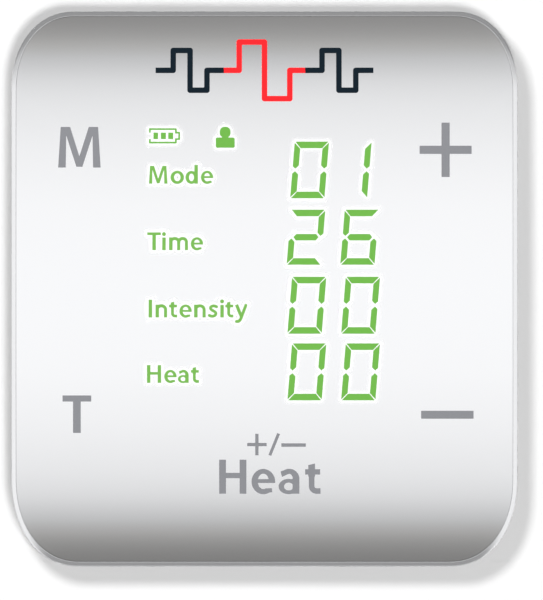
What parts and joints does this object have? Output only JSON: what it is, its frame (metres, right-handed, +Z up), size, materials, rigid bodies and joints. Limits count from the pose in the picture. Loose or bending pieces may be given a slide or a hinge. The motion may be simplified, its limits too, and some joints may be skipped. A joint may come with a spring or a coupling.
{
  "type": "tens unit",
  "caption": "Pocket nerve stimulator with a domed mirror-silver touch panel, green segment display, lead sockets, charging port, power slide and sprung belt clip.",
  "frame": {"origin": "centre of the body's lower edge, on the plane it stands on: midway across its width, and midway between the panel's crown and the belt clip's outer face", "axes": "+X to the right seen from the front, +Y away from the viewer towards the belt clip, +Z up towards the lead sockets"},
  "size_m": [0.066, 0.0214, 0.0724],
  "materials": {
    "white_gloss_shell": "satin moulded, fine grain",
    "clear_trim": "polished, silvered",
    "silver_panel": "mirror silver behind a clear coat",
    "adhesive": "foam tape",
    "display_green": "lit diffusing film",
    "white_diffuser": "matte",
    "led_phosphor": "clear resin",
    "spring_steel": "drawn wire",
    "contact_gold": "plated",
    "board_green": "solder mask",
    "chip_black": "matte moulded",
    "component_mix": "matte",
    "ferrite": "sintered",
    "winding_tape": "polyester tape",
    "capacitor_sleeve": "shrink sleeve",
    "socket_black": "moulded",
    "port_steel": "stamped",
    "cover_silicone": "silky",
    "switch_grey": "satin",
    "battery_foil": "laminated foil",
    "foam_tape": "foam",
    "wire_red": "silicone insulation",
    "wire_black": "silicone insulation",
    "connector_white": "moulded nylon",
    "screw_steel": "nickel plated",
    "clip_plastic": "satin moulded"
  },
  "bodies": {
    "unit": {"rear_shell": "white_gloss_shell", "front_frame": "white_gloss_shell", "bezel_ring": "clear_trim", "front_lens": "silver_panel", "lens_adhesive": "adhesive", "display_film": "display_green", "light_guide_block": "white_diffuser", "led_chips": "led_phosphor", "touch_springs": "contact_gold", "main_board": "board_green", "processor_chip": "chip_black", "small_components": "component_mix", "transformer_cores": "ferrite", "transformer_windings": "winding_tape", "storage_capacitor": "capacitor_sleeve", "buzzer": "chip_black", "lead_socket_left": "socket_black", "lead_socket_right": "socket_black", "socket_contacts": "contact_gold", "charge_port_shell": "port_steel", "charge_port_tongue": "socket_black", "port_cover_anchor": "cover_silicone", "power_switch_body": "port_steel", "battery_pack": "battery_foil", "battery_foam_tape": "foam_tape", "battery_wire_red": "wire_red", "battery_wire_black": "wire_black", "battery_connector": "connector_white", "board_screws": "screw_steel", "case_screws": "screw_steel", "clip_pin": "screw_steel", "clip_spring": "spring_steel"},
    "clip": {"belt_clip": "clip_plastic"},
    "cover": {"port_cover": "cover_silicone"},
    "power_slide": {"power_switch_knob": "switch_grey"}
  },
  "joints": [
    {"name": "clip_hinge", "type": "hinge", "parent": "unit", "child": "clip", "pos_m": [0, 0.007, 0.0568], "axis": [1, 0, 0], "range_deg": [0, 18], "stiffness_Nm_per_rad": 0.015, "springref_deg": -57.3, "deforming": ["clip_spring"]},
    {"name": "cover_fold", "type": "hinge", "parent": "unit", "child": "cover", "pos_m": [-0.033, -0.0012, 0.0305], "axis": [0, -1, 0], "range_deg": [0, 100]},
    {"name": "power_slide_travel", "type": "slide", "parent": "unit", "child": "power_slide", "axis": [0, 0, 1], "range_m": [-0.002, 0]}
  ]
}
